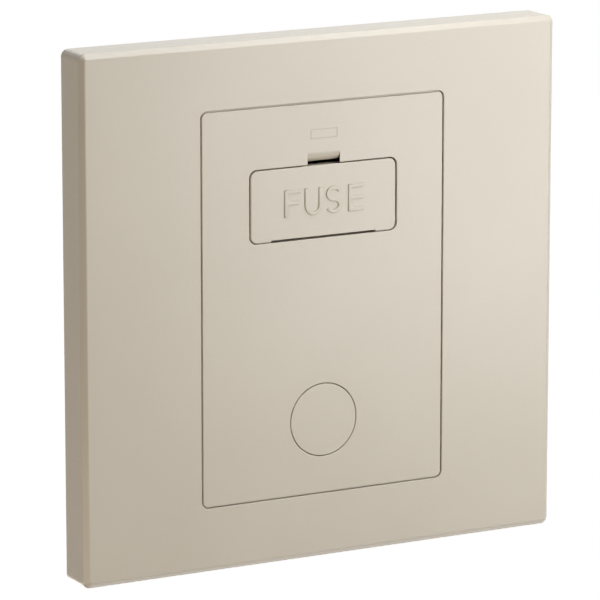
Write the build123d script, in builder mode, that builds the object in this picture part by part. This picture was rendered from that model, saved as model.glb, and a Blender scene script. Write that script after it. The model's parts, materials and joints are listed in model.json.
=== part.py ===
from build123d import *
import math
import os

# A fused spur unit for a single wall box, in millimetres. The wall is the plane Y = 0, the room is
# towards -Y, X runs to the right and Z up. Heights are distances in front of the wall, depths behind it.

# Square front plate
plate_size = 86.0
plate_height = 6.8
plate_corner = 1.2
plate_wall = 2.0
plate_inner_corner = 1.0
edge_bevel = 0.85
edge_round = 0.45
shoulder_round = 0.2
lip_round = 0.1
collar_wall = 1.2
collar_clearance = 0.2
pry_notch_width = 9.0
pry_notch_height = 1.0

# Snap beads that hold the plate on the frame
bead_length = 12.0
bead_reach = 0.8
bead_low = 0.3
bead_high = 1.2
bead_spread = 44.0
bead_clearance = 0.15

# Flush centre panel
panel_width = 43.7
panel_length = 64.1
panel_thickness = 2.0
panel_corner = 0.9
panel_gap = 0.28
groove_depth = 0.35
rim_height = 0.8
rim_clearance = 0.08
skirt_wall = 1.5

# Outline of the unused indicator window
window_line_z = 27.1
window_line_width = 4.75
window_line_length = 1.45
window_line_groove = 0.12
window_line_depth = 0.06

# Thumb notch above the carrier
notch_width = 5.9
notch_round = 1.7
notch_slot = 0.31
notch_lip = 0.1

# Fuse carrier that tilts about its lower edge
carrier_width = 26.4
carrier_length = 11.8
carrier_z = 16.07
carrier_thickness = 1.9
carrier_corner = 1.2
carrier_round = 0.2
carrier_side_gap = 0.25
carrier_top_gap = 0.18
carrier_foot_gap = 0.1
foot_slot_width = 19.1
foot_slot_rise = 0.3
pivot_depth = 0.8
pivot_rise = 1.5
pin_radius = 0.5
pin_reach = 1.3
pin_clearance = 0.05
knuckle_clearance = 0.06
pivot_pad_width = 3.0
pivot_pad_length = 4.4
pivot_pad_depth = 1.0

# Cartridge fuse and the saddle that grips it
fuse_length = 25.4
fuse_z = 16.2
cap_radius = 3.175
cap_length = 6.0
cap_wall = 0.26
cap_end = 0.6
tube_clearance = 0.02
fuse_stand_off = 0.5
saddle_spread = 9.0
saddle_width = 2.2
saddle_wall = 0.8
saddle_clearance = 0.04
saddle_mouth = 5.0
saddle_web = 4.6

# Round blank in the flex outlet
outlet_z = -20.0
outlet_radius = 6.08
outlet_collar_wall = 1.2
blank_gap = 0.12
blank_skirt_wall = 0.9
flex_bore_radius = 5.5
blank_skirt_clearance = 0.25
blank_skirt_length = 2.6

# Frame that is screwed to the wall box
frame_thickness = 2.0
frame_clearance = 0.4
frame_corner = 1.5
frame_rib_wall = 1.2
frame_rib_height = 1.6
frame_rib_inset = 0.9
fixing_pitch = 60.3
fixing_slot_width = 4.0
fixing_slot_length = 7.0

# Moulded base behind the panel
flange_reach = 2.0
flange_thickness = 1.4
housing_width = 43.0
housing_length = 63.0
housing_depth = 22.0
housing_corner = 1.5
housing_bevel = 0.6
housing_clearance = 0.3
lug_reach = 0.8
lug_length = 6.0
lug_depth = 2.6
lug_spread = 30.0
lug_clearance = 0.05
well_width = 27.2
well_bottom_z = 8.8
well_top_z = 23.2
well_depth = 4.5
cavity_width = 37.0
cavity_bottom_z = -9.0
cavity_top_z = 19.4
bay_width = 14.8
bay_top_z = -11.0
bay_wall = 2.8

# Snap legs of the panel in slots of the base
leg_inset = 2.4
leg_spread_z = 44.0
leg_wall = 1.0
leg_length = 6.0
leg_barb = 0.6
leg_barb_depth = 1.1
leg_barb_length = 1.9
leg_clearance = 0.2

# Brass terminals with a wire bore and a clamping screw each
terminal_width = 8.0
terminal_length = 8.4
terminal_thickness = 9.0
terminal_recess = 4.0
terminal_corner = 0.6
terminal_clearance = 0.3
terminal_row_z = 25.4
supply_spread = 25.0
load_spread = 26.4
earth_width = 12.4
earth_bore_spread = 6.2
wire_bore_radius = 2.1
wire_bore_inset = 3.6
wire_slot_clearance = 0.6

# Sheet metal clips and link
clip_thickness = 0.6
clip_clearance = 0.06
clip_width = 3.0
clip_spread = 22.0
clip_bend = 1.0
clip_drop = 1.6
strip_end_z = 28.6
strip_clearance = 0.9
channel_clearance = 0.3
link_width = 6.0
link_thickness = 0.8
link_round = 1.2
link_cross_z = 3.0

# Cover over the links
cover_thickness = 1.5
cover_clearance = 0.2
cover_recess = 2.7
cover_boss_radius = 2.8
cover_screw_high_z = 13.0
cover_screw_low_z = -4.8

# Cord grip in the flex bay
grip_z = -28.0
grip_spread = 10.4
grip_post_radius = 1.9
grip_post_depth = 4.6
grip_bar_length = 13.6
grip_bar_width = 5.0
grip_bar_thickness = 3.0
grip_arch_radius = 4.6
grip_arch_rise = 1.2

# Screws: shank radius, head radius, head height
screw_slot_width = 0.8
screw_slot_depth = 0.8
head_round = 0.4
thread_clearance = 0.05
terminal_screw_radius = 1.75
terminal_head_radius = 2.8
terminal_head_height = 1.8
terminal_screw_lift = 0.4
small_screw_radius = 1.2
small_head_radius = 2.2
small_head_height = 1.2
small_screw_length = 7.0
fixing_screw_radius = 1.75
fixing_neck_radius = 1.5
fixing_head_radius = 3.1
fixing_head_height = 1.9
fixing_screw_reach = 18.0

# Places worked out from the sizes above
plate_inner = plate_size - 2 * plate_wall
plate_back = plate_height - plate_wall
aperture_width = panel_width + 2 * panel_gap
aperture_length = panel_length + 2 * panel_gap
aperture_corner = panel_corner + panel_gap
frame_size = plate_inner - 2 * frame_clearance
flange_width = housing_width + 2 * flange_reach
flange_length = housing_length + 2 * flange_reach
flange_top = frame_thickness + flange_thickness
leg_spread_x = housing_width - 2 * leg_inset
panel_back = plate_height - panel_thickness
opening_width = carrier_width + 2 * carrier_side_gap
opening_corner = carrier_corner + carrier_foot_gap
carrier_back = plate_height - carrier_thickness
carrier_bottom_z = carrier_z - carrier_length / 2
opening_top_z = carrier_z + carrier_length / 2 + carrier_top_gap
opening_bottom_z = carrier_bottom_z - carrier_foot_gap
opening_z = (opening_top_z + opening_bottom_z) / 2
opening_length = opening_top_z - opening_bottom_z
pivot_y = pivot_depth - plate_height
pivot_z = carrier_bottom_z + pivot_rise
fuse_y = carrier_thickness + fuse_stand_off + cap_radius - plate_height
tube_radius = cap_radius - cap_wall - tube_clearance
link_depth = housing_depth - terminal_recess
terminal_depth = link_depth - terminal_thickness
wire_bore_depth = terminal_depth + wire_bore_inset
wire_slot_width = 2 * (wire_bore_radius + wire_slot_clearance)
wire_slot_depth = wire_bore_depth - wire_slot_width / 2
cavity_floor_depth = terminal_depth - clip_thickness - strip_clearance
cover_ledge_depth = housing_depth - cover_recess
cover_width = cavity_width - 2 * cover_clearance
cover_length = cavity_top_z - cavity_bottom_z - 2 * cover_clearance
cover_z = (cavity_top_z + cavity_bottom_z) / 2
bay_floor_height = flange_top - bay_wall
supply_x = supply_spread / 2
load_x = load_spread / 2
clip_x = clip_spread / 2
strip_y = terminal_depth - clip_thickness / 2
single_terminals = {
    "live_supply_terminal": (-supply_x, terminal_row_z),
    "neutral_supply_terminal": (supply_x, terminal_row_z),
    "neutral_load_terminal": (-load_x, -terminal_row_z),
    "live_load_terminal": (load_x, -terminal_row_z),
}
earth_bores = [(-earth_bore_spread / 2, terminal_row_z), (earth_bore_spread / 2, terminal_row_z)]
wire_bores = list(single_terminals.values()) + earth_bores


def facing(height):
    """Plane parallel to the wall, at a height in front of it and looking into the room."""
    return Plane.XZ.offset(height)


def front_face(piece):
    """Face of a piece that is nearest the room."""
    return piece.faces().sort_by(Axis.Y)[0]


# Front plate: shallow shell with a bevelled front edge and a collar round the aperture
with BuildPart() as front_plate:
    with BuildSketch(facing(0)):
        RectangleRounded(plate_size, plate_size, plate_corner)
    extrude(amount=plate_height)
    chamfer(front_face(front_plate).edges(), edge_bevel)
    bevel_shoulder = front_plate.edges().group_by(Axis.Y)[2]
    fillet(bevel_shoulder, shoulder_round)
    fillet(front_face(front_plate).edges(), edge_round)
    with BuildSketch(facing(0)):
        RectangleRounded(plate_inner, plate_inner, plate_inner_corner)
    extrude(amount=plate_back, mode=Mode.SUBTRACT)
    with BuildSketch(facing(flange_top + collar_clearance)):
        collar_corner = aperture_corner + collar_wall
        RectangleRounded(aperture_width + 2 * collar_wall, aperture_length + 2 * collar_wall, collar_corner)
    extrude(amount=plate_back - flange_top - collar_clearance)
    with BuildSketch(facing(0)):
        RectangleRounded(aperture_width, aperture_length, aperture_corner)
    extrude(amount=plate_height, mode=Mode.SUBTRACT)
    fillet(front_face(front_plate).inner_wires()[0].edges(), lip_round)
    with BuildSketch(facing(bead_low)):
        with GridLocations(bead_spread, plate_inner - bead_reach, 2, 2):
            Rectangle(bead_length, bead_reach)
    extrude(amount=bead_high - bead_low)
    with BuildSketch(facing(0)):
        with Locations((0, -plate_size / 2)):
            Rectangle(pry_notch_width, 2 * plate_wall)
    extrude(amount=pry_notch_height, mode=Mode.SUBTRACT)

# Support frame: flat frame with fixing slots, a stiffening rib and ledges over the plate's beads
with BuildPart() as support_frame:
    with BuildSketch(facing(0)):
        RectangleRounded(frame_size, frame_size, frame_corner)
        Rectangle(
            housing_width + 2 * housing_clearance,
            housing_length + 2 * housing_clearance,
            mode=Mode.SUBTRACT,
        )
        with Locations((-fixing_pitch / 2, 0)):
            SlotOverall(fixing_slot_length, fixing_slot_width, mode=Mode.SUBTRACT)
        with Locations((fixing_pitch / 2, 0)):
            SlotOverall(fixing_slot_length, fixing_slot_width, rotation=90, mode=Mode.SUBTRACT)
    extrude(amount=frame_thickness)
    with BuildSketch(facing(frame_thickness)):
        rib_size = frame_size - 2 * frame_rib_inset
        RectangleRounded(rib_size, rib_size, frame_corner)
        rib_inner = rib_size - 2 * frame_rib_wall
        Rectangle(rib_inner, rib_inner, mode=Mode.SUBTRACT)
    extrude(amount=frame_rib_height)
    with BuildSketch(facing(0)):
        bead_pocket = 2 * (bead_reach - frame_clearance + bead_clearance)
        with GridLocations(bead_spread, frame_size, 2, 2):
            Rectangle(bead_length + 2 * bead_clearance, bead_pocket)
    extrude(amount=bead_high + bead_clearance, mode=Mode.SUBTRACT)

# Centre panel: carrier opening hollowed at its foot, thumb notch, window outline and flex outlet
with BuildPart() as centre_panel:
    with BuildSketch(facing(panel_back)):
        RectangleRounded(panel_width, panel_length, panel_corner)
        with Locations((0, opening_z)):
            RectangleRounded(opening_width, opening_length, opening_corner, mode=Mode.SUBTRACT)
        with Locations((0, outlet_z)):
            Circle(outlet_radius, mode=Mode.SUBTRACT)
    extrude(amount=panel_thickness)
    fillet(front_face(centre_panel).edges(), lip_round)
    with BuildSketch(facing(plate_height - groove_depth)):
        rim_width = aperture_width - 2 * rim_clearance
        rim_length = aperture_length - 2 * rim_clearance
        RectangleRounded(rim_width, rim_length, aperture_corner - rim_clearance)
        Rectangle(panel_width - 2 * skirt_wall, panel_length - 2 * skirt_wall, mode=Mode.SUBTRACT)
    extrude(amount=-rim_height)
    with BuildSketch(facing(flange_top)):
        RectangleRounded(panel_width, panel_length, panel_corner)
        Rectangle(panel_width - 2 * skirt_wall, panel_length - 2 * skirt_wall, mode=Mode.SUBTRACT)
        with Locations((0, outlet_z)):
            Circle(outlet_radius + outlet_collar_wall)
            Circle(outlet_radius, mode=Mode.SUBTRACT)
    extrude(amount=panel_back - flange_top)
    with BuildSketch(facing(panel_back - pivot_pad_depth)):
        with GridLocations(opening_width + pivot_pad_width, 0, 2, 1):
            with Locations((0, pivot_z)):
                Rectangle(pivot_pad_width, pivot_pad_length)
    extrude(amount=pivot_pad_depth)
    with BuildSketch(Plane.YZ):
        with BuildLine():
            lip_z = opening_top_z + notch_slot
            roll_start = (-plate_height, lip_z + notch_round)
            roll_end = (notch_round - plate_height, lip_z)
            TangentArc(roll_start, roll_end, tangent=(0, -1))
            Polyline(
                roll_end,
                (-panel_back, lip_z),
                (-panel_back, opening_z),
                (-plate_height, opening_z),
                roll_start,
            )
        make_face()
    extrude(amount=notch_width / 2, both=True, mode=Mode.SUBTRACT)
    with BuildSketch(Plane.XY.offset(opening_z)):
        with BuildLine():
            notch_side = notch_width / 2
            notch_flare = panel_thickness - notch_lip
            Polyline(
                (notch_side, notch_lip - plate_height),
                (notch_side + notch_flare, -panel_back),
                (notch_side, -panel_back),
                close=True,
            )
        make_face()
        mirror(about=Plane.YZ)
    extrude(amount=lip_z + notch_round - opening_z, mode=Mode.SUBTRACT)
    with BuildSketch(facing(plate_height)):
        with Locations((0, window_line_z)):
            Rectangle(window_line_width + window_line_groove, window_line_length + window_line_groove)
            Rectangle(
                window_line_width - window_line_groove,
                window_line_length - window_line_groove,
                mode=Mode.SUBTRACT,
            )
    extrude(amount=-window_line_depth, mode=Mode.SUBTRACT)
    with BuildSketch(Plane.YZ):
        with Locations((pivot_y, pivot_z)):
            Circle(pin_radius + pin_clearance)
    extrude(amount=opening_width / 2 + pin_reach, both=True, mode=Mode.SUBTRACT)
    foot_reach = math.hypot(pivot_depth - carrier_round, pivot_rise - carrier_round) + carrier_round
    with BuildSketch(Plane.YZ):
        with Locations((pivot_y, pivot_z)):
            Circle(foot_reach + knuckle_clearance)
    extrude(amount=(carrier_width - carrier_corner) / 2, both=True, mode=Mode.SUBTRACT)
    with BuildSketch(facing(-leg_barb_depth - leg_barb_length)):
        with GridLocations(leg_spread_x, leg_spread_z, 2, 2):
            Rectangle(leg_wall, leg_length)
    extrude(amount=panel_back + leg_barb_depth + leg_barb_length)
    with BuildSketch(
        Plane.XY.offset((leg_spread_z - leg_length) / 2),
        Plane.XY.offset((-leg_spread_z - leg_length) / 2),
    ):
        with BuildLine():
            barb_root = (leg_spread_x + leg_wall) / 2
            barb_tip = barb_root + leg_barb
            barb_end = leg_barb_depth + leg_barb_length
            Polyline(
                (barb_root, leg_barb_depth),
                (barb_tip, leg_barb_depth),
                (barb_root, barb_end),
                close=True,
            )
        make_face()
        mirror(about=Plane.YZ)
    extrude(amount=leg_length)

# Round blank in the flex outlet, with a skirt that enters the bore behind it
with BuildPart() as flex_outlet_blank:
    with BuildSketch(facing(panel_back)):
        with Locations((0, outlet_z)):
            Circle(outlet_radius - blank_gap)
    extrude(amount=panel_thickness)
    fillet(front_face(flex_outlet_blank).edges(), lip_round)
    with BuildSketch(facing(panel_back - blank_skirt_length)):
        skirt_radius = flex_bore_radius - blank_skirt_clearance
        with Locations((0, outlet_z)):
            Circle(skirt_radius)
            Circle(skirt_radius - blank_skirt_wall, mode=Mode.SUBTRACT)
    extrude(amount=blank_skirt_length)

# Fuse carrier: filleted front, foot slot, hinge pins and knuckles, and two saddles round the fuse
with BuildPart() as fuse_carrier:
    with BuildSketch(facing(carrier_back)):
        with Locations((0, carrier_z)):
            RectangleRounded(carrier_width, carrier_length, carrier_corner)
    extrude(amount=carrier_thickness)
    fillet(front_face(fuse_carrier).edges(), carrier_round)
    with BuildSketch(facing(carrier_back)):
        with Locations((0, carrier_bottom_z)):
            Rectangle(foot_slot_width, 2 * foot_slot_rise)
    extrude(amount=carrier_thickness, mode=Mode.SUBTRACT)
    knuckle_radius = pivot_rise + carrier_foot_gap - knuckle_clearance
    knuckle_end = carrier_width / 2 - carrier_corner
    with BuildSketch(Plane.YZ.offset(foot_slot_width / 2), Plane.YZ.offset(-knuckle_end)):
        with BuildLine():
            CenterArc((pivot_y, pivot_z), knuckle_radius, -90, 180)
            Line((pivot_y, pivot_z + knuckle_radius), (pivot_y, pivot_z - knuckle_radius))
        make_face()
    extrude(amount=knuckle_end - foot_slot_width / 2)
    with BuildSketch(Plane.YZ):
        with Locations((pivot_y, pivot_z)):
            Circle(pin_radius)
    extrude(amount=carrier_width / 2 + pin_reach - pin_clearance, both=True)
    saddle_bore = tube_radius + saddle_clearance
    saddle_radius = saddle_bore + saddle_wall
    saddle_start = (saddle_spread - saddle_width) / 2
    with BuildSketch(Plane.YZ.offset(saddle_start), Plane.YZ.offset(-saddle_start - saddle_width)):
        with Locations((fuse_y, fuse_z)):
            Circle(saddle_radius)
        with Locations(((fuse_y - carrier_back) / 2, fuse_z)):
            Rectangle(fuse_y + carrier_back, saddle_web)
        with Locations((fuse_y, fuse_z)):
            Circle(saddle_bore, mode=Mode.SUBTRACT)
        with Locations((fuse_y + saddle_radius, fuse_z)):
            Rectangle(2 * saddle_radius, saddle_mouth, mode=Mode.SUBTRACT)
    extrude(amount=saddle_width)

# Cartridge fuse: ceramic tube between two metal caps
with BuildPart() as fuse_tube:
    with BuildSketch(Plane.YZ):
        with Locations((fuse_y, fuse_z)):
            Circle(tube_radius)
    extrude(amount=fuse_length / 2 - cap_end, both=True)

with BuildPart() as fuse_end_caps:
    with BuildSketch(Plane.YZ.offset(fuse_length / 2 - cap_length), Plane.YZ.offset(-fuse_length / 2)):
        with Locations((fuse_y, fuse_z)):
            Circle(cap_radius)
    extrude(amount=cap_length)
    with BuildSketch(Plane.YZ):
        with Locations((fuse_y, fuse_z)):
            Circle(cap_radius - cap_wall)
    extrude(amount=fuse_length / 2 - cap_end, both=True, mode=Mode.SUBTRACT)

# Base housing: flanged block with the fuse well in front, and pockets, cavity and flex bay behind
with BuildPart() as base_housing:
    with BuildSketch(facing(-housing_depth)):
        RectangleRounded(housing_width, housing_length, housing_corner)
    extrude(amount=housing_depth + frame_thickness)
    chamfer(base_housing.faces().sort_by(Axis.Y)[-1].edges(), housing_bevel)
    with BuildSketch(facing(frame_thickness)):
        RectangleRounded(flange_width, flange_length, housing_corner)
    extrude(amount=flange_thickness)
    with BuildSketch(facing(-well_depth)):
        with Locations((0, (well_bottom_z + well_top_z) / 2)):
            Rectangle(well_width, well_top_z - well_bottom_z)
    extrude(amount=well_depth + flange_top, mode=Mode.SUBTRACT)
    with BuildSketch(facing(-housing_depth)):
        with Locations((0, cover_z)):
            Rectangle(cavity_width, cavity_top_z - cavity_bottom_z)
        with Locations((0, cover_screw_high_z), (0, cover_screw_low_z)):
            Circle(cover_boss_radius, mode=Mode.SUBTRACT)
    extrude(amount=housing_depth - cavity_floor_depth, mode=Mode.SUBTRACT)
    with BuildSketch(facing(-housing_depth)):
        with Locations((0, cover_screw_high_z), (0, cover_screw_low_z)):
            Circle(cover_boss_radius)
    extrude(amount=housing_depth - cover_ledge_depth, mode=Mode.SUBTRACT)
    with BuildSketch(facing(-housing_depth)):
        with Locations((0, cover_screw_high_z), (0, cover_screw_low_z)):
            Circle(small_screw_radius + thread_clearance)
    extrude(amount=housing_depth - cover_ledge_depth + small_screw_length, mode=Mode.SUBTRACT)
    with BuildSketch(facing(-housing_depth)):
        with Locations(*single_terminals.values()):
            Rectangle(terminal_width + 2 * terminal_clearance, terminal_length + 2 * terminal_clearance)
        with Locations((0, terminal_row_z)):
            Rectangle(earth_width + 2 * terminal_clearance, terminal_length + 2 * terminal_clearance)
    extrude(amount=housing_depth - terminal_depth, mode=Mode.SUBTRACT)
    with BuildSketch(facing(-housing_depth)):
        slot_length = housing_length / 2 - terminal_row_z
        for bore_x, bore_z in wire_bores:
            with Locations((bore_x, math.copysign(terminal_row_z + slot_length / 2, bore_z))):
                Rectangle(wire_slot_width, slot_length)
    extrude(amount=housing_depth - wire_slot_depth, mode=Mode.SUBTRACT)
    with BuildSketch(facing(-housing_depth)):
        strip_channel = clip_width + 2 * channel_clearance
        channel_end_z = strip_end_z + channel_clearance
        with Locations((-clip_x, (cavity_top_z + channel_end_z) / 2)):
            Rectangle(strip_channel, channel_end_z - cavity_top_z)
        with Locations((clip_x, (cavity_bottom_z - channel_end_z) / 2)):
            Rectangle(strip_channel, channel_end_z + cavity_bottom_z)
    extrude(amount=housing_depth - terminal_depth + clip_thickness, mode=Mode.SUBTRACT)
    with BuildSketch(facing(-housing_depth)):
        link_channel = link_width + 2 * channel_clearance
        with Locations((supply_x, (cavity_top_z + terminal_row_z) / 2)):
            Rectangle(link_channel, terminal_row_z - cavity_top_z)
        with Locations((-load_x, (cavity_bottom_z - terminal_row_z) / 2)):
            Rectangle(link_channel, terminal_row_z + cavity_bottom_z)
    extrude(amount=housing_depth - link_depth + channel_clearance, mode=Mode.SUBTRACT)
    tail_z = fuse_z - cap_radius - clip_drop
    with BuildSketch(facing(-cavity_floor_depth)):
        with Locations((-clip_x, tail_z), (clip_x, tail_z)):
            Rectangle(strip_channel, clip_thickness + 2 * channel_clearance)
    extrude(amount=cavity_floor_depth - well_depth, mode=Mode.SUBTRACT)
    with BuildSketch(facing(-housing_depth)):
        bay_length = housing_length / 2 + bay_top_z
        with Locations((0, bay_top_z - bay_length / 2)):
            Rectangle(bay_width, bay_length)
        with Locations((-grip_spread / 2, grip_z), (grip_spread / 2, grip_z)):
            Circle(grip_post_radius, mode=Mode.SUBTRACT)
    extrude(amount=housing_depth + bay_floor_height, mode=Mode.SUBTRACT)
    with BuildSketch(facing(-housing_depth)):
        with Locations((-grip_spread / 2, grip_z), (grip_spread / 2, grip_z)):
            Circle(grip_post_radius)
    extrude(amount=housing_depth - grip_post_depth, mode=Mode.SUBTRACT)
    with BuildSketch(facing(-housing_depth)):
        with Locations((-grip_spread / 2, grip_z), (grip_spread / 2, grip_z)):
            Circle(small_screw_radius + thread_clearance)
    grip_hole_depth = small_screw_length - grip_bar_thickness
    extrude(amount=housing_depth - grip_post_depth + grip_hole_depth, mode=Mode.SUBTRACT)
    with BuildSketch(facing(bay_floor_height)):
        with Locations((0, outlet_z)):
            Circle(flex_bore_radius)
    extrude(amount=bay_wall, mode=Mode.SUBTRACT)
    leg_foot_depth = leg_barb_depth + leg_barb_length + leg_clearance
    with BuildSketch(facing(-leg_foot_depth)):
        with GridLocations(leg_spread_x, leg_spread_z, 2, 2):
            Rectangle(leg_wall + 2 * leg_clearance, leg_length + 2 * leg_clearance)
    extrude(amount=leg_foot_depth + flange_top, mode=Mode.SUBTRACT)
    with BuildSketch(facing(-leg_foot_depth)):
        barb_window = (housing_width - leg_spread_x) / 2
        with GridLocations(leg_spread_x + barb_window, leg_spread_z, 2, 2):
            Rectangle(barb_window, leg_length + 2 * leg_clearance)
    extrude(amount=leg_barb_length + leg_clearance, mode=Mode.SUBTRACT)
    with BuildSketch(Plane.XY.offset(lug_spread / 2 - lug_length), Plane.XY.offset(-lug_spread / 2)):
        with BuildLine():
            lug_root = housing_width / 2
            Polyline(
                (lug_root, lug_clearance),
                (lug_root + lug_reach, lug_clearance),
                (lug_root, lug_depth),
                close=True,
            )
        make_face()
        mirror(about=Plane.YZ)
    extrude(amount=lug_length)

# Cover over the links
with BuildPart() as rear_cover:
    with BuildSketch(facing(-cover_ledge_depth - cover_thickness)):
        with Locations((0, cover_z)):
            Rectangle(cover_width, cover_length)
        with Locations((0, cover_screw_high_z), (0, cover_screw_low_z)):
            Circle(small_screw_radius + thread_clearance, mode=Mode.SUBTRACT)
    extrude(amount=cover_thickness)


def fuse_clip(x, strip_end):
    """Half-round clip under a fuse cap, open along the fuse's swing, with its strip to a terminal."""
    swing = math.degrees(math.atan2(fuse_z - pivot_z, fuse_y - pivot_y)) + 90
    rim_radius = cap_radius + clip_clearance + clip_thickness / 2
    away = Vector(1, 0).rotate(Axis.Z, swing + 180)
    root = Vector(fuse_y, fuse_z) + away * rim_radius
    with BuildPart() as clip:
        with BuildSketch(Plane.YZ.offset(x - clip_width / 2)):
            with BuildLine():
                CenterArc((fuse_y, fuse_z), rim_radius, swing + 90, 180)
            trace(line_width=clip_thickness)
            with BuildLine():
                knee = (root.X + (root.Y - tail_z), tail_z)
                strip_foot = (strip_y, tail_z)
                strip_tip = (strip_y, strip_end)
                FilletPolyline((root.X, root.Y), knee, strip_foot, strip_tip, radius=clip_bend)
            trace(line_width=clip_thickness)
        extrude(amount=clip_width)
    return clip


live_supply_clip = fuse_clip(-clip_x, strip_end_z)
live_load_clip = fuse_clip(clip_x, -strip_end_z)

# Neutral link: flat bar under the heads of the two neutral screws
with BuildPart() as neutral_link:
    with BuildSketch(facing(-link_depth - link_thickness)) as neutral_link_outline:
        link_end = terminal_row_z + link_width / 2
        cross_low = link_cross_z - link_width / 2
        cross_high = link_cross_z + link_width / 2
        with Locations((supply_x, (link_end + cross_low) / 2)):
            Rectangle(link_width, link_end - cross_low)
        with Locations((-load_x, (cross_high - link_end) / 2)):
            Rectangle(link_width, link_end + cross_high)
        with Locations(((supply_x - load_x) / 2, link_cross_z)):
            Rectangle(supply_x + load_x + link_width, link_width)
        fillet(neutral_link_outline.vertices(), link_round)
        with Locations((supply_x, terminal_row_z), (-load_x, -terminal_row_z)):
            Circle(terminal_screw_radius + channel_clearance, mode=Mode.SUBTRACT)
    extrude(amount=link_thickness)


def terminal(x, z, width, bores):
    """Brass block with a vertical wire bore and a screw hole from behind for each of its bores."""
    with BuildPart() as block:
        with BuildSketch(facing(-link_depth)):
            with Locations((x, z)):
                RectangleRounded(width, terminal_length, terminal_corner)
        extrude(amount=terminal_thickness)
        with BuildSketch(Plane.XY.offset(z - terminal_length / 2)):
            with Locations(*[(bore_x, wire_bore_depth) for bore_x in bores]):
                Circle(wire_bore_radius)
        extrude(amount=terminal_length, mode=Mode.SUBTRACT)
        with BuildSketch(facing(-link_depth)):
            with Locations(*[(bore_x, z) for bore_x in bores]):
                Circle(terminal_screw_radius + thread_clearance)
        extrude(amount=link_depth - wire_bore_depth, mode=Mode.SUBTRACT)
    return block


def slotted_screws(places, seat_depth, shank_radius, shank_length, head_radius, head_height):
    """Screws driven from behind the wall, with slotted pan heads behind the seat."""
    with BuildPart() as screws:
        with BuildSketch(facing(-seat_depth)):
            with Locations(*places):
                Circle(shank_radius)
        extrude(amount=shank_length)
        with BuildSketch(facing(-seat_depth - head_height)):
            with Locations(*places):
                Circle(head_radius)
        extrude(amount=head_height)
        fillet(screws.edges().group_by(Axis.Y)[-1], head_round)
        with BuildSketch(facing(-seat_depth - head_height)):
            with Locations(*places):
                Rectangle(2 * head_radius, screw_slot_width)
        extrude(amount=screw_slot_depth, mode=Mode.SUBTRACT)
    return screws


earth_terminal = terminal(0, terminal_row_z, earth_width, [bore_x for bore_x, bore_z in earth_bores])
terminal_head_seat = link_depth + link_thickness + terminal_screw_lift
wire_bore_back = wire_bore_depth + wire_bore_radius
terminal_screws = slotted_screws(
    wire_bores,
    terminal_head_seat,
    terminal_screw_radius,
    terminal_head_seat - wire_bore_back,
    terminal_head_radius,
    terminal_head_height,
)
rear_cover_screws = slotted_screws(
    [(0, cover_screw_high_z), (0, cover_screw_low_z)],
    cover_ledge_depth + cover_thickness,
    small_screw_radius,
    small_screw_length,
    small_head_radius,
    small_head_height,
)

# Cord grip: arched bar on two posts of the flex bay
with BuildPart() as cord_grip_bar:
    with BuildSketch(Plane.XY.offset(grip_z - grip_bar_width / 2)):
        with Locations((0, grip_post_depth + grip_bar_thickness / 2)):
            Rectangle(grip_bar_length, grip_bar_thickness)
        with Locations((0, grip_post_depth + grip_arch_rise - grip_arch_radius)):
            Circle(grip_arch_radius, mode=Mode.SUBTRACT)
    extrude(amount=grip_bar_width)
    with BuildSketch(facing(-grip_post_depth - grip_bar_thickness)):
        with Locations((-grip_spread / 2, grip_z), (grip_spread / 2, grip_z)):
            Circle(small_screw_radius + thread_clearance)
    extrude(amount=grip_bar_thickness, mode=Mode.SUBTRACT)

cord_grip_screws = slotted_screws(
    [(-grip_spread / 2, grip_z), (grip_spread / 2, grip_z)],
    grip_post_depth + grip_bar_thickness,
    small_screw_radius,
    small_screw_length,
    small_head_radius,
    small_head_height,
)

# Fixing screws: pan heads on the frame, plain necks in its slots and threads behind the wall
with BuildPart() as fixing_screws:
    fixing_places = [(-fixing_pitch / 2, 0), (fixing_pitch / 2, 0)]
    with BuildSketch(facing(-fixing_screw_reach)):
        with Locations(*fixing_places):
            Circle(fixing_screw_radius)
    extrude(amount=fixing_screw_reach)
    with BuildSketch(facing(0)):
        with Locations(*fixing_places):
            Circle(fixing_neck_radius)
    extrude(amount=frame_thickness)
    with BuildSketch(facing(frame_thickness)):
        with Locations(*fixing_places):
            Circle(fixing_head_radius)
    extrude(amount=fixing_head_height)
    fillet(fixing_screws.edges().group_by(Axis.Y)[0], head_round)
    with BuildSketch(facing(frame_thickness + fixing_head_height)):
        with Locations(*fixing_places):
            Rectangle(2 * fixing_head_radius, screw_slot_width)
    extrude(amount=-screw_slot_depth, mode=Mode.SUBTRACT)

pieces = {
    "front_plate": front_plate,
    "support_frame": support_frame,
    "centre_panel": centre_panel,
    "flex_outlet_blank": flex_outlet_blank,
    "fuse_carrier": fuse_carrier,
    "fuse_tube": fuse_tube,
    "fuse_end_caps": fuse_end_caps,
    "base_housing": base_housing,
    "rear_cover": rear_cover,
    "live_supply_clip": live_supply_clip,
    "live_load_clip": live_load_clip,
    "neutral_link": neutral_link,
    "earth_terminal": earth_terminal,
    "terminal_screws": terminal_screws,
    "rear_cover_screws": rear_cover_screws,
    "cord_grip_bar": cord_grip_bar,
    "cord_grip_screws": cord_grip_screws,
    "fixing_screws": fixing_screws,
}
for name, (terminal_x, terminal_z) in single_terminals.items():
    pieces[name] = terminal(terminal_x, terminal_z, terminal_width, [terminal_x])

os.makedirs("parts", exist_ok=True)
for name, piece in pieces.items():
    piece.part.label = name
    export_step(piece.part, f"parts/{name}.step")
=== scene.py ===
import itertools
import json
import math

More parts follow.
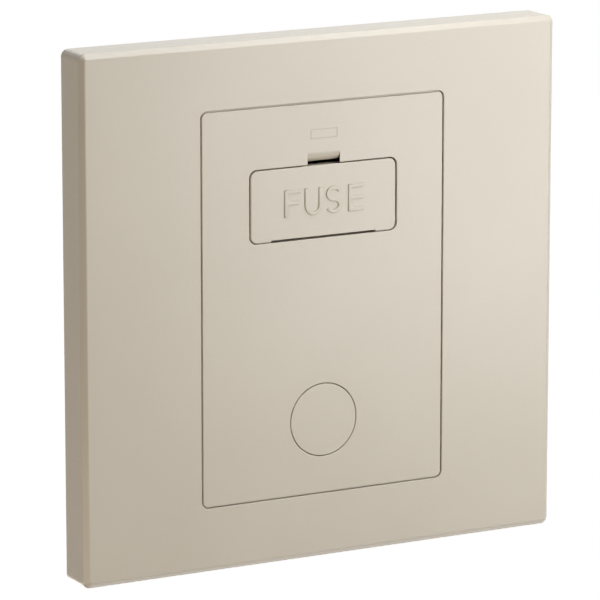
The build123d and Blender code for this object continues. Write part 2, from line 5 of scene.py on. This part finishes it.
import bpy
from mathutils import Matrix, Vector


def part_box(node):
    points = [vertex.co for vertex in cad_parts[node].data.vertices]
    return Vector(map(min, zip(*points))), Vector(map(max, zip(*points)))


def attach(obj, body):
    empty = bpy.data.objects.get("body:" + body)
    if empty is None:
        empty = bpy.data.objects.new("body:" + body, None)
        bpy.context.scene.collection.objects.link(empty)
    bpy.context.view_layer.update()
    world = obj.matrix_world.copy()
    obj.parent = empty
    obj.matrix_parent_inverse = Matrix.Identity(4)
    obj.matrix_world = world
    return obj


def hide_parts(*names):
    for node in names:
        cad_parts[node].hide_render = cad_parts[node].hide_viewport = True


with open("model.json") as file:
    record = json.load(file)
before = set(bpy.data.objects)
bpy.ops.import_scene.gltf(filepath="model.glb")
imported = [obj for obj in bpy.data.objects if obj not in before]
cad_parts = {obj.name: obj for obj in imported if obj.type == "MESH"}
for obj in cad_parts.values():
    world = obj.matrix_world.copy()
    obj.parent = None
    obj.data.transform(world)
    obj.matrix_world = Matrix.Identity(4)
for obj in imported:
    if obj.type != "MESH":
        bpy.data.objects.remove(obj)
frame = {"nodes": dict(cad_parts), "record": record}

# A fused spur unit in metres: the wall is the plane Y = 0, the room is towards -Y and Z is up.
MM = 0.001

# Camera of the photograph
CAMERA_PLACE = (-342.2 * MM, -638.0 * MM, 157.4 * MM)
CAMERA_YAW = math.radians(28.16)
CAMERA_PITCH = math.radians(12.38)
CAMERA_LENS = 273.8
CAMERA_SENSOR = 36.0

# Studio
FLOOR_DROP = 1200 * MM
FLOOR_SIZE = 12.0
FLOOR_COLOUR = (0.90, 0.90, 0.89)
FLOOR_GLOW = 0.95
AMBIENT_COLOUR = (1.0, 0.93, 0.84)
AMBIENT_STRENGTH = 0.08

# Lamps: place and width in millimetres, power in watts, colour; all aim at the middle of the plate
NEUTRAL = (1.0, 1.0, 1.0)
SOFT = (1.0, 0.86, 0.70)
WARM = (1.0, 0.80, 0.58)
LAMPS = {
    "right_lamp": ((165, -220, 0), 160, 0.385, NEUTRAL),
    "top_lamp": ((60, -40, 260), 160, 0.34, NEUTRAL),
    "high_lamp": ((130, -130, 210), 140, 0.33, NEUTRAL),
    "left_lamp": ((-430, 150, -40), 250, 0.30, WARM),
    "low_lamp": ((-420, -230, -260), 200, 0.78, SOFT),
    "edge_lamp": ((-150, -490, -105), 120, 0.36, SOFT),
    "foot_lamp": ((190, -190, -310), 110, 0.11, NEUTRAL),
    "back_lamp": ((180, 450, 500), 450, 0.9, NEUTRAL),
    "rear_lamp": ((210, 600, -480), 760, 3.5, NEUTRAL),
}

# Plastics and ceramic: two tints, spread of roughness, grains per metre and depth of the grain
PLASTICS = {
    "champagne_plastic": {
        "dark": (0.514, 0.477, 0.404),
        "light": (0.534, 0.497, 0.424),
        "roughness": (0.27, 0.33),
        "grain": 5200.0,
        "depth": 0.003 * MM,
    },
    "frame_plastic": {
        "dark": (0.40, 0.40, 0.385),
        "light": (0.46, 0.46, 0.445),
        "roughness": (0.42, 0.55),
        "grain": 2600.0,
        "depth": 0.012 * MM,
    },
    "base_plastic": {
        "dark": (0.016, 0.016, 0.018),
        "light": (0.024, 0.024, 0.026),
        "roughness": (0.38, 0.52),
        "grain": 2200.0,
        "depth": 0.014 * MM,
    },
    "fuse_ceramic": {
        "dark": (0.74, 0.72, 0.66),
        "light": (0.80, 0.78, 0.72),
        "roughness": (0.40, 0.55),
        "grain": 1800.0,
        "depth": 0.010 * MM,
    },
}

# Metals: two tints, spread of roughness, stretch of the tool lines and their depth
METALS = {
    "brass": {
        "dark": (0.60, 0.40, 0.15),
        "light": (0.76, 0.55, 0.25),
        "roughness": (0.20, 0.38),
        "stretch": (0.08, 1.0, 1.0),
        "depth": 0.006 * MM,
    },
    "zinc_steel": {
        "dark": (0.52, 0.54, 0.56),
        "light": (0.66, 0.66, 0.64),
        "roughness": (0.24, 0.40),
        "stretch": (1.0, 1.0, 1.0),
        "depth": 0.004 * MM,
    },
    "nickel": {
        "dark": (0.62, 0.60, 0.56),
        "light": (0.72, 0.70, 0.66),
        "roughness": (0.12, 0.24),
        "stretch": (1.0, 0.1, 0.1),
        "depth": 0.002 * MM,
    },
}

# Noises of the materials: scales per metre, detail, and the span in which most of a noise lies
NOISE_LOW = 0.3
NOISE_HIGH = 0.7
FLOW_SCALE = 45.0
FLOW_DETAIL = 2.0
GRAIN_DETAIL = 3.0
PATCH_SCALE = 260.0
PATCH_DETAIL = 4.0
LINE_SCALE = 900.0
LINE_DETAIL = 3.0

# Letters: shares of height, width or stroke, an S bow's sweep in degrees, and steps of arcs and edges
MIDDLE_BAR_SHARE = 0.56
F_TONGUE_SHARE = 0.9
E_TONGUE_SHARE = 0.95
N_SLOPE_SHARE = 1.9
S_SWEEP = 245
ARC_STEPS = 20
EDGE_STEPS = 2

# Raised word on the carrier
WORD_HEIGHT = 4.45 * MM
WORD_STROKE = 0.62 * MM
WORD_RELIEF = 0.2 * MM
WORD_ROUND = 0.14 * MM
WORD_Z = 16.19 * MM
WORD_STARTS = {"F": -7.16 * MM, "U": -3.47 * MM, "S": 0.39 * MM, "E": 4.45 * MM}
WORD_WIDTHS = {"F": 2.95 * MM, "U": 3.15 * MM, "S": 2.85 * MM, "E": 2.85 * MM}

# Raised terminal signs on the rear cover, with their places as seen from behind
SIGN_HEIGHT = 3.0 * MM
SIGN_WIDTH = 2.0 * MM
SIGN_STROKE = 0.45 * MM
SIGN_RELIEF = 0.2 * MM
SIGN_ROUND = 0.04 * MM
LIVE_SIGNS = [(12.5 * MM, 16.4 * MM), (-13.2 * MM, -6.0 * MM)]
NEUTRAL_SIGNS = [(-12.5 * MM, 16.4 * MM), (13.2 * MM, -6.0 * MM)]
EARTH_SIGN = (0.0, 17.2 * MM)
EARTH_BARS = (3.0 * MM, 1.9 * MM, 0.8 * MM)

# Fixing screws with their threads
FIXING_CENTRES = 60.3 * MM
SCREW_NECK_RADIUS = 1.5 * MM
SCREW_HEAD_RADIUS = 3.1 * MM
SCREW_HEAD_ROUND = 0.4 * MM
SCREW_HEAD_ANGLES = (0, 0.39, 0.78, 1.17, math.pi / 2)
SCREW_HEAD_SEAT = -2.0 * MM
SCREW_SLOT_WIDTH = 0.8 * MM
SCREW_SLOT_DEPTH = 0.8 * MM
SCREW_TIP = 0.6 * MM
THREAD_RADIUS = 1.75 * MM
THREAD_DEPTH = 0.32 * MM
THREAD_PITCH = 0.6 * MM
THREAD_SIDES = 24
THREAD_CREST_END = 0.125
THREAD_ROOT_START = 0.42
THREAD_ROOT_END = 0.70

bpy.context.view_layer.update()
nodes = frame["nodes"]


def new_material(name):
    """Node material with its tree and its shader."""
    material = bpy.data.materials.new(name)
    material.use_nodes = True
    tree = material.node_tree
    return material, tree, tree.nodes["Principled BSDF"]


def noise(tree, scale, detail, stretch=(1, 1, 1)):
    """Noise that moves with the piece, with a scale per metre."""
    place = tree.nodes.new("ShaderNodeTexCoord")
    mapping = tree.nodes.new("ShaderNodeMapping")
    mapping.inputs["Scale"].default_value = stretch
    texture = tree.nodes.new("ShaderNodeTexNoise")
    texture.inputs["Scale"].default_value = scale
    texture.inputs["Detail"].default_value = detail
    tree.links.new(place.outputs["Object"], mapping.inputs["Vector"])
    tree.links.new(mapping.outputs["Vector"], texture.inputs["Vector"])
    return texture.outputs["Fac"]


def tint(tree, factor, dark, light):
    """Colour that runs from dark to light with a noise."""
    ramp = tree.nodes.new("ShaderNodeValToRGB")
    ramp.color_ramp.elements[0].position = NOISE_LOW
    ramp.color_ramp.elements[0].color = (*dark, 1.0)
    ramp.color_ramp.elements[1].position = NOISE_HIGH
    ramp.color_ramp.elements[1].color = (*light, 1.0)
    tree.links.new(factor, ramp.inputs["Fac"])
    return ramp.outputs["Color"]


def spread(tree, factor, low, high):
    """Number that runs from low to high with a noise."""
    spread_range = tree.nodes.new("ShaderNodeMapRange")
    spread_range.inputs["From Min"].default_value = NOISE_LOW
    spread_range.inputs["From Max"].default_value = NOISE_HIGH
    spread_range.inputs["To Min"].default_value = low
    spread_range.inputs["To Max"].default_value = high
    tree.links.new(factor, spread_range.inputs["Value"])
    return spread_range.outputs["Result"]


def relief(tree, factor, depth):
    """Fine relief of a surface, as deep as given."""
    bump = tree.nodes.new("ShaderNodeBump")
    bump.inputs["Distance"].default_value = depth
    tree.links.new(factor, bump.inputs["Height"])
    return bump.outputs["Normal"]


def moulded_plastic(name, dark, light, roughness, grain, depth):
    """Moulded plastic or ceramic with a slow flow of tint and the fine grain of its mould."""
    material, tree, shader = new_material(name)
    flow = noise(tree, FLOW_SCALE, FLOW_DETAIL)
    texture = noise(tree, grain, GRAIN_DETAIL)
    tree.links.new(tint(tree, flow, dark, light), shader.inputs["Base Color"])
    tree.links.new(spread(tree, texture, *roughness), shader.inputs["Roughness"])
    tree.links.new(relief(tree, texture, depth), shader.inputs["Normal"])
    return material


def worked_metal(name, dark, light, roughness, stretch, depth):
    """Bare or plated metal with tool lines or an even grain, and patches of tarnish."""
    material, tree, shader = new_material(name)
    patches = noise(tree, PATCH_SCALE, PATCH_DETAIL)
    lines = noise(tree, LINE_SCALE, LINE_DETAIL, stretch)
    shader.inputs["Metallic"].default_value = 1.0
    tree.links.new(tint(tree, patches, dark, light), shader.inputs["Base Color"])
    tree.links.new(spread(tree, lines, *roughness), shader.inputs["Roughness"])
    tree.links.new(relief(tree, lines, depth), shader.inputs["Normal"])
    return material


def make_finishes():
    """One material for each finish that the record names."""
    made = {name: moulded_plastic(name, **look) for name, look in PLASTICS.items()}
    for name, look in METALS.items():
        made[name] = worked_metal(name, **look)
    return made


finishes = make_finishes()
for subpart in frame["record"]["subparts"]:
    for material_slot in nodes[subpart["node"]].material_slots:
        material_slot.material = finishes[subpart["material_slot"]]


def letter_f(width, height, stroke):
    """Outline of an F, from its lower left corner."""
    bar = MIDDLE_BAR_SHARE * height
    tongue = F_TONGUE_SHARE * width
    return [
        (0, 0),
        (stroke, 0),
        (stroke, height - bar),
        (tongue, height - bar),
        (tongue, height - bar + stroke),
        (stroke, height - bar + stroke),
        (stroke, height - stroke),
        (width, height - stroke),
        (width, height),
        (0, height),
    ]


def letter_e(width, height, stroke):
    """Outline of an E, from its lower left corner."""
    bar = MIDDLE_BAR_SHARE * height
    tongue = E_TONGUE_SHARE * width
    return [
        (0, 0),
        (width, 0),
        (width, stroke),
        (stroke, stroke),
        (stroke, height - bar),
        (tongue, height - bar),
        (tongue, height - bar + stroke),
        (stroke, height - bar + stroke),
        (stroke, height - stroke),
        (width, height - stroke),
        (width, height),
        (0, height),
    ]


def widen(line, stroke):
    """Outline of a stroke along a line of points, with square ends."""
    left = []
    right = []
    for index, point in enumerate(line):
        before = line[max(index - 1, 0)]
        after = line[min(index + 1, len(line) - 1)]
        along = (Vector(after) - Vector(before)).normalized()
        across = Vector((-along.y, along.x)) * stroke / 2
        left.append(tuple(Vector(point) + across))
        right.append(tuple(Vector(point) - across))
    return left + right[::-1]


def arc(centre, radius, start, end):
    """Points of an arc, with its angles in degrees."""
    points = []
    for step in range(ARC_STEPS + 1):
        angle = math.radians(start + (end - start) * step / ARC_STEPS)
        points.append((centre[0] + radius * math.cos(angle), centre[1] + radius * math.sin(angle)))
    return points


def letter_u(width, height, stroke):
    """Outline of a U, from its lower left corner."""
    radius = (width - stroke) / 2
    bowl = arc((width / 2, stroke / 2 + radius), radius, 180, 360)
    return widen([(stroke / 2, height), *bowl, (width - stroke / 2, height)], stroke)


def letter_s(width, height, stroke):
    """Outline of an S, from its lower left corner."""
    reach = (width - stroke) / 2
    rise = (height - stroke) / 4
    upper = arc((0, 0), 1, 270 - S_SWEEP, 270)
    lower = arc((0, 0), 1, 90, 90 - S_SWEEP)
    line = [(width / 2 + reach * x, height - stroke / 2 - rise + rise * z) for x, z in upper]
    line += [(width / 2 + reach * x, stroke / 2 + rise + rise * z) for x, z in lower[1:]]
    return widen(line, stroke)


def letter_l(width, height, stroke):
    """Outline of an L, from its lower left corner."""
    return [(0, 0), (width, 0), (width, stroke), (stroke, stroke), (stroke, height), (0, height)]


def letter_n(width, height, stroke):
    """Outline of an N, from its lower left corner."""
    slope = N_SLOPE_SHARE * stroke
    return [
        (0, 0),
        (stroke, 0),
        (stroke, height - slope),
        (width - stroke, 0),
        (width, 0),
        (width, height),
        (width - stroke, height),
        (width - stroke, slope),
        (stroke, height),
        (0, height),
    ]


def earth_outlines(centre, height, bars, stroke):
    """Outlines of the earth sign: a stem on the first of three bars that grow shorter."""
    x, z = centre
    top = z + height / 2
    gap = (height / 2 - stroke) / 2
    first = bars[0] / 2
    foot = z - stroke / 2
    outlines = [[
        (x - first, foot),
        (x + first, foot),
        (x + first, foot + stroke),
        (x + stroke / 2, foot + stroke),
        (x + stroke / 2, top),
        (x - stroke / 2, top),
        (x - stroke / 2, foot + stroke),
        (x - first, foot + stroke),
    ]]
    for step, bar in enumerate(bars[1:], start=1):
        low = foot - step * gap
        high = low + stroke
        left = x - bar / 2
        right = x + bar / 2
        outlines.append([(left, low), (right, low), (right, high), (left, high)])
    return outlines


LETTERS = {"F": letter_f, "U": letter_u, "S": letter_s, "E": letter_e}


def raised_outlines(name, outlines, front, thickness, round_edge, facing=-1):
    """Mesh of closed outlines, as the reader sees them, that stand up from a front or rear face."""
    curve = bpy.data.curves.new(name, "CURVE")
    curve.dimensions = "2D"
    curve.fill_mode = "BOTH"
    curve.extrude = thickness / 2 - round_edge
    curve.bevel_depth = round_edge
    curve.bevel_resolution = EDGE_STEPS
    curve.offset = -round_edge
    for outline in outlines:
        spline = curve.splines.new("POLY")
        spline.points.add(len(outline) - 1)
        for point, (x, z) in zip(spline.points, outline):
            point.co = (x, z, 0, 1)
        spline.use_cyclic_u = True
    flat = bpy.data.objects.new(name + "_curve", curve)
    mesh = bpy.data.meshes.new_from_object(flat)
    mesh.name = name
    for vertex in mesh.vertices:
        x, z, out = vertex.co
        vertex.co = (-facing * x, front + facing * out, z)
    bpy.data.objects.remove(flat)
    piece = bpy.data.objects.new(name, mesh)
    bpy.context.scene.collection.objects.link(piece)
    return piece


def carrier_word():
    """The generic word on the fuse carrier, in raised letters."""
    outlines = []
    foot = WORD_Z - WORD_HEIGHT / 2
    for letter, start in WORD_STARTS.items():
        outline = LETTERS[letter](WORD_WIDTHS[letter], WORD_HEIGHT, WORD_STROKE)
        outlines.append([(start + x, foot + z) for x, z in outline])
    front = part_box("fuse_carrier")[0].y
    piece = raised_outlines("carrier_word", outlines, front, 2 * WORD_RELIEF, WORD_ROUND)
    piece.data.materials.append(finishes["champagne_plastic"])
    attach(piece, "carrier")


def rear_signs():
    """The generic terminal signs in relief on the rear cover: live, neutral and earth."""
    outlines = earth_outlines(EARTH_SIGN, SIGN_HEIGHT, EARTH_BARS, SIGN_STROKE)
    for letter, places in ((letter_l, LIVE_SIGNS), (letter_n, NEUTRAL_SIGNS)):
        outline = letter(SIGN_WIDTH, SIGN_HEIGHT, SIGN_STROKE)
        for x, z in places:
            outlines.append([(x - SIGN_WIDTH / 2 + u, z - SIGN_HEIGHT / 2 + v) for u, v in outline])
    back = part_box("rear_cover")[1].y
    piece = raised_outlines("rear_signs", outlines, back, 2 * SIGN_RELIEF, SIGN_ROUND, facing=1)
    piece.data.materials.append(finishes["base_plastic"])
    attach(piece, "unit")


def thread_height(phase):
    """Share of the thread's depth at a phase of its pitch: flat crest, flat root and two flanks."""
    if phase < THREAD_CREST_END:
        return 1.0
    if phase < THREAD_ROOT_START:
        return (THREAD_ROOT_START - phase) / (THREAD_ROOT_START - THREAD_CREST_END)
    if phase < THREAD_ROOT_END:
        return 0.0
    return (phase - THREAD_ROOT_END) / (1 - THREAD_ROOT_END)


def head_rings(front):
    """Plain rings of a screw's rounded head and its neck."""
    shape = []
    for angle in SCREW_HEAD_ANGLES:
        radius = SCREW_HEAD_RADIUS - SCREW_HEAD_ROUND + SCREW_HEAD_ROUND * math.sin(angle)
        shape.append((radius, front + SCREW_HEAD_ROUND * (1 - math.cos(angle))))
    shape.append((SCREW_HEAD_RADIUS, SCREW_HEAD_SEAT))
    shape.append((SCREW_NECK_RADIUS, SCREW_HEAD_SEAT))
    shape.append((SCREW_NECK_RADIUS, 0))
    return [([radius] * THREAD_SIDES, depth) for radius, depth in shape]


def screw_rings(front, tip):
    """Rings of a threaded screw from its head to its tip, each as radii round the ring and one depth."""
    rings = head_rings(front)
    root = THREAD_RADIUS - THREAD_DEPTH
    thread_start = THREAD_PITCH / 2
    row_step = THREAD_PITCH / THREAD_SIDES
    row_count = int((tip - SCREW_TIP - thread_start) / row_step)
    for row in range(1, row_count + 1):
        depth = THREAD_DEPTH * min(1.0, row / THREAD_SIDES, (row_count - row) / THREAD_SIDES)
        phases = [((row - side) % THREAD_SIDES) / THREAD_SIDES for side in range(THREAD_SIDES)]
        radii = [root + depth * thread_height(phase) for phase in phases]
        rings.append((radii, thread_start + row * row_step))
    rings.append(([root - SCREW_TIP / 2] * THREAD_SIDES, tip))
    return rings


def ring_mesh(name, rings):
    """Closed mesh through rings about the Y axis, with its two ends filled."""
    points = []
    for radii, depth in rings:
        for side, radius in enumerate(radii):
            angle = 2 * math.pi * side / THREAD_SIDES
            points.append((radius * math.sin(angle), depth, radius * math.cos(angle)))
    faces = []
    for row in range(len(rings) - 1):
        here = row * THREAD_SIDES
        there = here + THREAD_SIDES
        for side in range(THREAD_SIDES):
            after = (side + 1) % THREAD_SIDES
            faces.append((here + side, here + after, there + after))
            faces.append((here + side, there + after, there + side))
    last = (len(rings) - 1) * THREAD_SIDES
    faces.append(tuple(reversed(range(THREAD_SIDES))))
    faces.append(tuple(last + side for side in range(THREAD_SIDES)))
    mesh = bpy.data.meshes.new(name)
    mesh.from_pydata(points, [], faces)
    return mesh


def box_mesh(name, low, high):
    """Closed box between two corners."""
    corners = list(itertools.product(*zip(low, high)))
    faces = [(0, 1, 3, 2), (4, 6, 7, 5), (0, 4, 5, 1), (2, 3, 7, 6), (0, 2, 6, 4), (1, 5, 7, 3)]
    mesh = bpy.data.meshes.new(name)
    mesh.from_pydata(corners, [], faces)
    return mesh


def cut(mesh, tool):
    """Mesh that is left when a closed tool is taken out of another closed mesh."""
    body = bpy.data.objects.new(mesh.name, mesh)
    knife = bpy.data.objects.new(tool.name, tool)
    for item in (body, knife):
        bpy.context.scene.collection.objects.link(item)
    change = body.modifiers.new("cut", "BOOLEAN")
    change.operation = "DIFFERENCE"
    change.solver = "EXACT"
    change.object = knife
    left = bpy.data.meshes.new_from_object(body.evaluated_get(bpy.context.evaluated_depsgraph_get()))
    bpy.data.objects.remove(body)
    bpy.data.objects.remove(knife)
    return left


def fixing_screws():
    """The two slotted fixing screws, with threads in place of the plain shanks."""
    low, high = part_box("fixing_screws")
    screw = ring_mesh("screw", screw_rings(low.y, high.y))
    reach = 2 * SCREW_HEAD_RADIUS
    slot_low = (-reach, low.y - SCREW_SLOT_DEPTH, -SCREW_SLOT_WIDTH / 2)
    slot_high = (reach, low.y + SCREW_SLOT_DEPTH, SCREW_SLOT_WIDTH / 2)
    screw = cut(screw, box_mesh("slot", slot_low, slot_high))
    points = []
    faces = []
    for side in (-1, 1):
        first = len(points)
        points += [(v.co.x + side * FIXING_CENTRES / 2, v.co.y, v.co.z) for v in screw.vertices]
        faces += [tuple(first + index for index in face.vertices) for face in screw.polygons]
    mesh = bpy.data.meshes.new("threaded_fixing_screws")
    mesh.from_pydata(points, [], faces)
    mesh.materials.append(finishes["zinc_steel"])
    piece = bpy.data.objects.new("threaded_fixing_screws", mesh)
    bpy.context.scene.collection.objects.link(piece)
    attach(piece, "unit")
    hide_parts("fixing_screws")


def white_to_camera(tree, shade, glow):
    """Shade of a stage surface that the camera and reflections see as white."""
    rays = tree.nodes.new("ShaderNodeLightPath")
    seen = tree.nodes.new("ShaderNodeMath")
    seen.operation = "MAXIMUM"
    tree.links.new(rays.outputs["Is Camera Ray"], seen.inputs[0])
    tree.links.new(rays.outputs["Is Glossy Ray"], seen.inputs[1])
    through = tree.nodes.new("ShaderNodeMath")
    through.operation = "MAXIMUM"
    tree.links.new(seen.outputs[0], through.inputs[0])
    tree.links.new(rays.outputs["Is Transmission Ray"], through.inputs[1])
    mix = tree.nodes.new("ShaderNodeMixShader")
    tree.links.new(through.outputs[0], mix.inputs["Fac"])
    tree.links.new(shade, mix.inputs[1])
    tree.links.new(glow, mix.inputs[2])
    return mix.outputs["Shader"]


def make_floor():
    """Plain pale floor, well below the wall unit, that keeps its shadow."""
    mesh = bpy.data.meshes.new("floor")
    half = FLOOR_SIZE / 2
    corners = [(-half, -half), (half, -half), (half, half), (-half, half)]
    mesh.from_pydata([(x, y, -FLOOR_DROP) for x, y in corners], [], [(0, 1, 2, 3)])
    floor = bpy.data.objects.new("floor", mesh)
    bpy.context.scene.collection.objects.link(floor)
    material = bpy.data.materials.new("floor")
    material.use_nodes = True
    tree = material.node_tree
    tree.nodes.clear()
    matt = tree.nodes.new("ShaderNodeBsdfDiffuse")
    matt.inputs["Color"].default_value = (*FLOOR_COLOUR, 1.0)
    glow = tree.nodes.new("ShaderNodeEmission")
    glow.inputs["Strength"].default_value = FLOOR_GLOW
    lit = tree.nodes.new("ShaderNodeAddShader")
    tree.links.new(matt.outputs["BSDF"], lit.inputs[0])
    tree.links.new(glow.outputs["Emission"], lit.inputs[1])
    output = tree.nodes.new("ShaderNodeOutputMaterial")
    shade = white_to_camera(tree, matt.outputs["BSDF"], lit.outputs["Shader"])
    tree.links.new(shade, output.inputs["Surface"])
    mesh.materials.append(material)


def make_world():
    """White backdrop for the camera and a soft warm light from all round for the unit."""
    world = bpy.data.worlds.new("studio")
    bpy.context.scene.world = world
    world.use_nodes = True
    tree = world.node_tree
    tree.nodes.clear()
    ambient = tree.nodes.new("ShaderNodeBackground")
    ambient.inputs["Color"].default_value = (*AMBIENT_COLOUR, 1.0)
    ambient.inputs["Strength"].default_value = AMBIENT_STRENGTH
    white = tree.nodes.new("ShaderNodeBackground")
    white.inputs["Color"].default_value = (1.0, 1.0, 1.0, 1.0)
    white.inputs["Strength"].default_value = 1.0
    output = tree.nodes.new("ShaderNodeOutputWorld")
    shade = white_to_camera(tree, ambient.outputs["Background"], white.outputs["Background"])
    tree.links.new(shade, output.inputs["Surface"])


def make_lamps():
    """Large soft lamps round the unit."""
    for name, (place, width, power, colour) in LAMPS.items():
        data = bpy.data.lights.new(name, "AREA")
        data.shape = "SQUARE"
        data.size = width * MM
        data.energy = power
        data.color = colour
        lamp = bpy.data.objects.new(name, data)
        lamp.location = Vector(place) * MM
        lamp.rotation_euler = (-lamp.location).to_track_quat("-Z", "Y").to_euler()
        lamp.visible_camera = False
        bpy.context.scene.collection.objects.link(lamp)


def make_camera():
    """Camera at the photograph's place, looking in from the left and above."""
    data = bpy.data.cameras.new("camera")
    data.lens = CAMERA_LENS
    data.sensor_width = CAMERA_SENSOR
    camera = bpy.data.objects.new("camera", data)
    camera.location = CAMERA_PLACE
    look = Vector((
        math.sin(CAMERA_YAW) * math.cos(CAMERA_PITCH),
        math.cos(CAMERA_YAW) * math.cos(CAMERA_PITCH),
        -math.sin(CAMERA_PITCH),
    ))
    camera.rotation_euler = look.to_track_quat("-Z", "Y").to_euler()
    bpy.context.scene.collection.objects.link(camera)
    bpy.context.scene.camera = camera


make_camera()
make_floor()
make_world()
make_lamps()
carrier_word()
rear_signs()
fixing_screws()
bpy.context.scene.view_settings.view_transform = "Standard"
